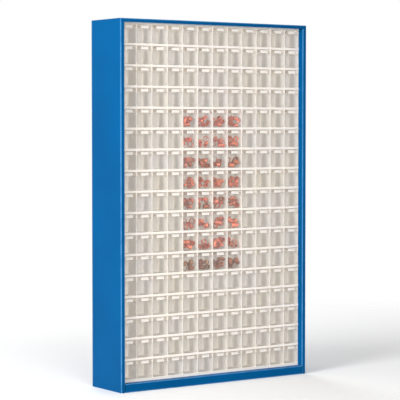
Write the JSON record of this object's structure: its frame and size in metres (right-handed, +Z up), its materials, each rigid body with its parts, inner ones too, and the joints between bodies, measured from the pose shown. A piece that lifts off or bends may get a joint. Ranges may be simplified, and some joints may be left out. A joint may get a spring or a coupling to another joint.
{
  "type": "parts bin cabinet",
  "caption": "Tall steel cabinet whose open front is filled with rows of white housings holding clear tilt-out parts bins, each on its own bottom pivot.",
  "frame": {"origin": "middle of the footprint on the floor", "axes": "+Z up, the open front with the bins faces -Y, +X to the right seen from the front"},
  "size_m": [1.25, 0.3, 2],
  "materials": {
    "blue_steel": "smooth blue powder coat, satin",
    "white_steel": "white powder coat, satin",
    "zinc_steel": "galvanised sheet with a faint spangle",
    "zinc_screw": "zinc plated fastener",
    "white_plastic": "injection moulded white plastic, fine satin",
    "clear_plastic": "clear moulded plastic, glossy, the finger tab frosted white"
  },
  "bodies": {
    "cabinet": {"side_panel_left": "blue_steel", "side_panel_right": "blue_steel", "top_panel": "blue_steel", "bottom_panel": "blue_steel", "back_panel": "blue_steel", "end_uprights": "zinc_steel", "centre_upright": "zinc_steel", "filler_strips": "white_steel", "module_housings": "white_plastic", "module_screws": "zinc_screw", "back_rivets": "zinc_screw"},
    "bank_row_01": {"bank_row_01": "clear_plastic"},
    "bank_row_02": {"bank_row_02": "clear_plastic"},
    "bank_row_03": {"bank_row_03": "clear_plastic"},
    "bank_row_04": {"bank_row_04": "clear_plastic"},
    "bank_row_05": {"bank_row_05": "clear_plastic"},
    "bank_row_06": {"bank_row_06": "clear_plastic"},
    "bank_row_07": {"bank_row_07": "clear_plastic"},
    "bank_row_08": {"bank_row_08": "clear_plastic"},
    "bank_row_09": {"bank_row_09": "clear_plastic"},
    "bank_row_10": {"bank_row_10": "clear_plastic"},
    "bank_row_11": {"bank_row_11": "clear_plastic"},
    "bank_row_12": {"bank_row_12": "clear_plastic"},
    "bank_row_13": {"bank_row_13": "clear_plastic"},
    "bank_row_14": {"bank_row_14": "clear_plastic"},
    "bank_row_15": {"bank_row_15": "clear_plastic"},
    "bank_row_16": {"bank_row_16": "clear_plastic"},
    "bank_row_17": {"bank_row_17": "clear_plastic"},
    "bin_r05_c05": {"bin_r05_c05": "clear_plastic"},
    "bin_r05_c06": {"bin_r05_c06": "clear_plastic"},
    "bin_r05_c07": {"bin_r05_c07": "clear_plastic"},
    "bin_r05_c08": {"bin_r05_c08": "clear_plastic"},
    "bin_r06_c05": {"bin_r06_c05": "clear_plastic"},
    "bin_r06_c06": {"bin_r06_c06": "clear_plastic"},
    "bin_r06_c07": {"bin_r06_c07": "clear_plastic"},
    "bin_r06_c08": {"bin_r06_c08": "clear_plastic"},
    "bin_r07_c05": {"bin_r07_c05": "clear_plastic"},
    "bin_r07_c06": {"bin_r07_c06": "clear_plastic"},
    "bin_r07_c07": {"bin_r07_c07": "clear_plastic"},
    "bin_r07_c08": {"bin_r07_c08": "clear_plastic"},
    "bin_r08_c05": {"bin_r08_c05": "clear_plastic"},
    "bin_r08_c06": {"bin_r08_c06": "clear_plastic"},
    "bin_r08_c07": {"bin_r08_c07": "clear_plastic"},
    "bin_r08_c08": {"bin_r08_c08": "clear_plastic"},
    "bin_r09_c05": {"bin_r09_c05": "clear_plastic"},
    "bin_r09_c06": {"bin_r09_c06": "clear_plastic"},
    "bin_r09_c07": {"bin_r09_c07": "clear_plastic"},
    "bin_r09_c08": {"bin_r09_c08": "clear_plastic"},
    "bin_r10_c05": {"bin_r10_c05": "clear_plastic"},
    "bin_r10_c06": {"bin_r10_c06": "clear_plastic"},
    "bin_r10_c07": {"bin_r10_c07": "clear_plastic"},
    "bin_r10_c08": {"bin_r10_c08": "clear_plastic"},
    "bin_r11_c05": {"bin_r11_c05": "clear_plastic"},
    "bin_r11_c06": {"bin_r11_c06": "clear_plastic"},
    "bin_r11_c07": {"bin_r11_c07": "clear_plastic"},
    "bin_r11_c08": {"bin_r11_c08": "clear_plastic"},
    "bin_r12_c05": {"bin_r12_c05": "clear_plastic"},
    "bin_r12_c06": {"bin_r12_c06": "clear_plastic"},
    "bin_r12_c07": {"bin_r12_c07": "clear_plastic"},
    "bin_r12_c08": {"bin_r12_c08": "clear_plastic"}
  },
  "joints": [
    {"name": "tilt_row_01", "type": "hinge", "parent": "cabinet", "child": "bank_row_01", "pos_m": [0, -0.104, 1.879], "axis": [1, 0, 0], "range_deg": [0, 45]},
    {"name": "tilt_row_02", "type": "hinge", "parent": "cabinet", "child": "bank_row_02", "pos_m": [0, -0.104, 1.766], "axis": [1, 0, 0], "range_deg": [0, 45]},
    {"name": "tilt_row_03", "type": "hinge", "parent": "cabinet", "child": "bank_row_03", "pos_m": [0, -0.104, 1.653], "axis": [1, 0, 0], "range_deg": [0, 45]},
    {"name": "tilt_row_04", "type": "hinge", "parent": "cabinet", "child": "bank_row_04", "pos_m": [0, -0.104, 1.54], "axis": [1, 0, 0], "range_deg": [0, 45]},
    {"name": "tilt_row_05", "type": "hinge", "parent": "cabinet", "child": "bank_row_05", "pos_m": [0, -0.104, 1.427], "axis": [1, 0, 0], "range_deg": [0, 45]},
    {"name": "tilt_row_06", "type": "hinge", "parent": "cabinet", "child": "bank_row_06", "pos_m": [0, -0.104, 1.314], "axis": [1, 0, 0], "range_deg": [0, 45]},
    {"name": "tilt_row_07", "type": "hinge", "parent": "cabinet", "child": "bank_row_07", "pos_m": [0, -0.104, 1.201], "axis": [1, 0, 0], "range_deg": [0, 45]},
    {"name": "tilt_row_08", "type": "hinge", "parent": "cabinet", "child": "bank_row_08", "pos_m": [0, -0.104, 1.088], "axis": [1, 0, 0], "range_deg": [0, 45]},
    {"name": "tilt_row_09", "type": "hinge", "parent": "cabinet", "child": "bank_row_09", "pos_m": [0, -0.104, 0.975], "axis": [1, 0, 0], "range_deg": [0, 45]},
    {"name": "tilt_row_10", "type": "hinge", "parent": "cabinet", "child": "bank_row_10", "pos_m": [0, -0.104, 0.862], "axis": [1, 0, 0], "range_deg": [0, 45]},
    {"name": "tilt_row_11", "type": "hinge", "parent": "cabinet", "child": "bank_row_11", "pos_m": [0, -0.104, 0.749], "axis": [1, 0, 0], "range_deg": [0, 45]},
    {"name": "tilt_row_12", "type": "hinge", "parent": "cabinet", "child": "bank_row_12", "pos_m": [0, -0.104, 0.636], "axis": [1, 0, 0], "range_deg": [0, 45]},
    {"name": "tilt_row_13", "type": "hinge", "parent": "cabinet", "child": "bank_row_13", "pos_m": [0, -0.104, 0.523], "axis": [1, 0, 0], "range_deg": [0, 45]},
    {"name": "tilt_row_14", "type": "hinge", "parent": "cabinet", "child": "bank_row_14", "pos_m": [0, -0.104, 0.41], "axis": [1, 0, 0], "range_deg": [0, 45]},
    {"name": "tilt_row_15", "type": "hinge", "parent": "cabinet", "child": "bank_row_15", "pos_m": [0, -0.104, 0.297], "axis": [1, 0, 0], "range_deg": [0, 45]},
    {"name": "tilt_row_16", "type": "hinge", "parent": "cabinet", "child": "bank_row_16", "pos_m": [0, -0.104, 0.184], "axis": [1, 0, 0], "range_deg": [0, 45]},
    {"name": "tilt_row_17", "type": "hinge", "parent": "cabinet", "child": "bank_row_17", "pos_m": [0, -0.104, 0.071], "axis": [1, 0, 0], "range_deg": [0, 45]},
    {"name": "tilt_r05_c05", "type": "hinge", "parent": "cabinet", "child": "bin_r05_c05", "pos_m": [-0.15, -0.104, 1.427], "axis": [1, 0, 0], "range_deg": [0, 45]},
    {"name": "tilt_r05_c06", "type": "hinge", "parent": "cabinet", "child": "bin_r05_c06", "pos_m": [-0.05, -0.104, 1.427], "axis": [1, 0, 0], "range_deg": [0, 45]},
    {"name": "tilt_r05_c07", "type": "hinge", "parent": "cabinet", "child": "bin_r05_c07", "pos_m": [0.05, -0.104, 1.427], "axis": [1, 0, 0], "range_deg": [0, 45]},
    {"name": "tilt_r05_c08", "type": "hinge", "parent": "cabinet", "child": "bin_r05_c08", "pos_m": [0.15, -0.104, 1.427], "axis": [1, 0, 0], "range_deg": [0, 45]},
    {"name": "tilt_r06_c05", "type": "hinge", "parent": "cabinet", "child": "bin_r06_c05", "pos_m": [-0.15, -0.104, 1.314], "axis": [1, 0, 0], "range_deg": [0, 45]},
    {"name": "tilt_r06_c06", "type": "hinge", "parent": "cabinet", "child": "bin_r06_c06", "pos_m": [-0.05, -0.104, 1.314], "axis": [1, 0, 0], "range_deg": [0, 45]},
    {"name": "tilt_r06_c07", "type": "hinge", "parent": "cabinet", "child": "bin_r06_c07", "pos_m": [0.05, -0.104, 1.314], "axis": [1, 0, 0], "range_deg": [0, 45]},
    {"name": "tilt_r06_c08", "type": "hinge", "parent": "cabinet", "child": "bin_r06_c08", "pos_m": [0.15, -0.104, 1.314], "axis": [1, 0, 0], "range_deg": [0, 45]},
    {"name": "tilt_r07_c05", "type": "hinge", "parent": "cabinet", "child": "bin_r07_c05", "pos_m": [-0.15, -0.104, 1.201], "axis": [1, 0, 0], "range_deg": [0, 45]},
    {"name": "tilt_r07_c06", "type": "hinge", "parent": "cabinet", "child": "bin_r07_c06", "pos_m": [-0.05, -0.104, 1.201], "axis": [1, 0, 0], "range_deg": [0, 45]},
    {"name": "tilt_r07_c07", "type": "hinge", "parent": "cabinet", "child": "bin_r07_c07", "pos_m": [0.05, -0.104, 1.201], "axis": [1, 0, 0], "range_deg": [0, 45]},
    {"name": "tilt_r07_c08", "type": "hinge", "parent": "cabinet", "child": "bin_r07_c08", "pos_m": [0.15, -0.104, 1.201], "axis": [1, 0, 0], "range_deg": [0, 45]},
    {"name": "tilt_r08_c05", "type": "hinge", "parent": "cabinet", "child": "bin_r08_c05", "pos_m": [-0.15, -0.104, 1.088], "axis": [1, 0, 0], "range_deg": [0, 45]},
    {"name": "tilt_r08_c06", "type": "hinge", "parent": "cabinet", "child": "bin_r08_c06", "pos_m": [-0.05, -0.104, 1.088], "axis": [1, 0, 0], "range_deg": [0, 45]},
    {"name": "tilt_r08_c07", "type": "hinge", "parent": "cabinet", "child": "bin_r08_c07", "pos_m": [0.05, -0.104, 1.088], "axis": [1, 0, 0], "range_deg": [0, 45]},
    {"name": "tilt_r08_c08", "type": "hinge", "parent": "cabinet", "child": "bin_r08_c08", "pos_m": [0.15, -0.104, 1.088], "axis": [1, 0, 0], "range_deg": [0, 45]},
    {"name": "tilt_r09_c05", "type": "hinge", "parent": "cabinet", "child": "bin_r09_c05", "pos_m": [-0.15, -0.104, 0.975], "axis": [1, 0, 0], "range_deg": [0, 45]},
    {"name": "tilt_r09_c06", "type": "hinge", "parent": "cabinet", "child": "bin_r09_c06", "pos_m": [-0.05, -0.104, 0.975], "axis": [1, 0, 0], "range_deg": [0, 45]},
    {"name": "tilt_r09_c07", "type": "hinge", "parent": "cabinet", "child": "bin_r09_c07", "pos_m": [0.05, -0.104, 0.975], "axis": [1, 0, 0], "range_deg": [0, 45]},
    {"name": "tilt_r09_c08", "type": "hinge", "parent": "cabinet", "child": "bin_r09_c08", "pos_m": [0.15, -0.104, 0.975], "axis": [1, 0, 0], "range_deg": [0, 45]},
    {"name": "tilt_r10_c05", "type": "hinge", "parent": "cabinet", "child": "bin_r10_c05", "pos_m": [-0.15, -0.104, 0.862], "axis": [1, 0, 0], "range_deg": [0, 45]},
    {"name": "tilt_r10_c06", "type": "hinge", "parent": "cabinet", "child": "bin_r10_c06", "pos_m": [-0.05, -0.104, 0.862], "axis": [1, 0, 0], "range_deg": [0, 45]},
    {"name": "tilt_r10_c07", "type": "hinge", "parent": "cabinet", "child": "bin_r10_c07", "pos_m": [0.05, -0.104, 0.862], "axis": [1, 0, 0], "range_deg": [0, 45]},
    {"name": "tilt_r10_c08", "type": "hinge", "parent": "cabinet", "child": "bin_r10_c08", "pos_m": [0.15, -0.104, 0.862], "axis": [1, 0, 0], "range_deg": [0, 45]},
    {"name": "tilt_r11_c05", "type": "hinge", "parent": "cabinet", "child": "bin_r11_c05", "pos_m": [-0.15, -0.104, 0.749], "axis": [1, 0, 0], "range_deg": [0, 45]},
    {"name": "tilt_r11_c06", "type": "hinge", "parent": "cabinet", "child": "bin_r11_c06", "pos_m": [-0.05, -0.104, 0.749], "axis": [1, 0, 0], "range_deg": [0, 45]},
    {"name": "tilt_r11_c07", "type": "hinge", "parent": "cabinet", "child": "bin_r11_c07", "pos_m": [0.05, -0.104, 0.749], "axis": [1, 0, 0], "range_deg": [0, 45]},
    {"name": "tilt_r11_c08", "type": "hinge", "parent": "cabinet", "child": "bin_r11_c08", "pos_m": [0.15, -0.104, 0.749], "axis": [1, 0, 0], "range_deg": [0, 45]},
    {"name": "tilt_r12_c05", "type": "hinge", "parent": "cabinet", "child": "bin_r12_c05", "pos_m": [-0.15, -0.104, 0.636], "axis": [1, 0, 0], "range_deg": [0, 45]},
    {"name": "tilt_r12_c06", "type": "hinge", "parent": "cabinet", "child": "bin_r12_c06", "pos_m": [-0.05, -0.104, 0.636], "axis": [1, 0, 0], "range_deg": [0, 45]},
    {"name": "tilt_r12_c07", "type": "hinge", "parent": "cabinet", "child": "bin_r12_c07", "pos_m": [0.05, -0.104, 0.636], "axis": [1, 0, 0], "range_deg": [0, 45]},
    {"name": "tilt_r12_c08", "type": "hinge", "parent": "cabinet", "child": "bin_r12_c08", "pos_m": [0.15, -0.104, 0.636], "axis": [1, 0, 0], "range_deg": [0, 45]}
  ]
}
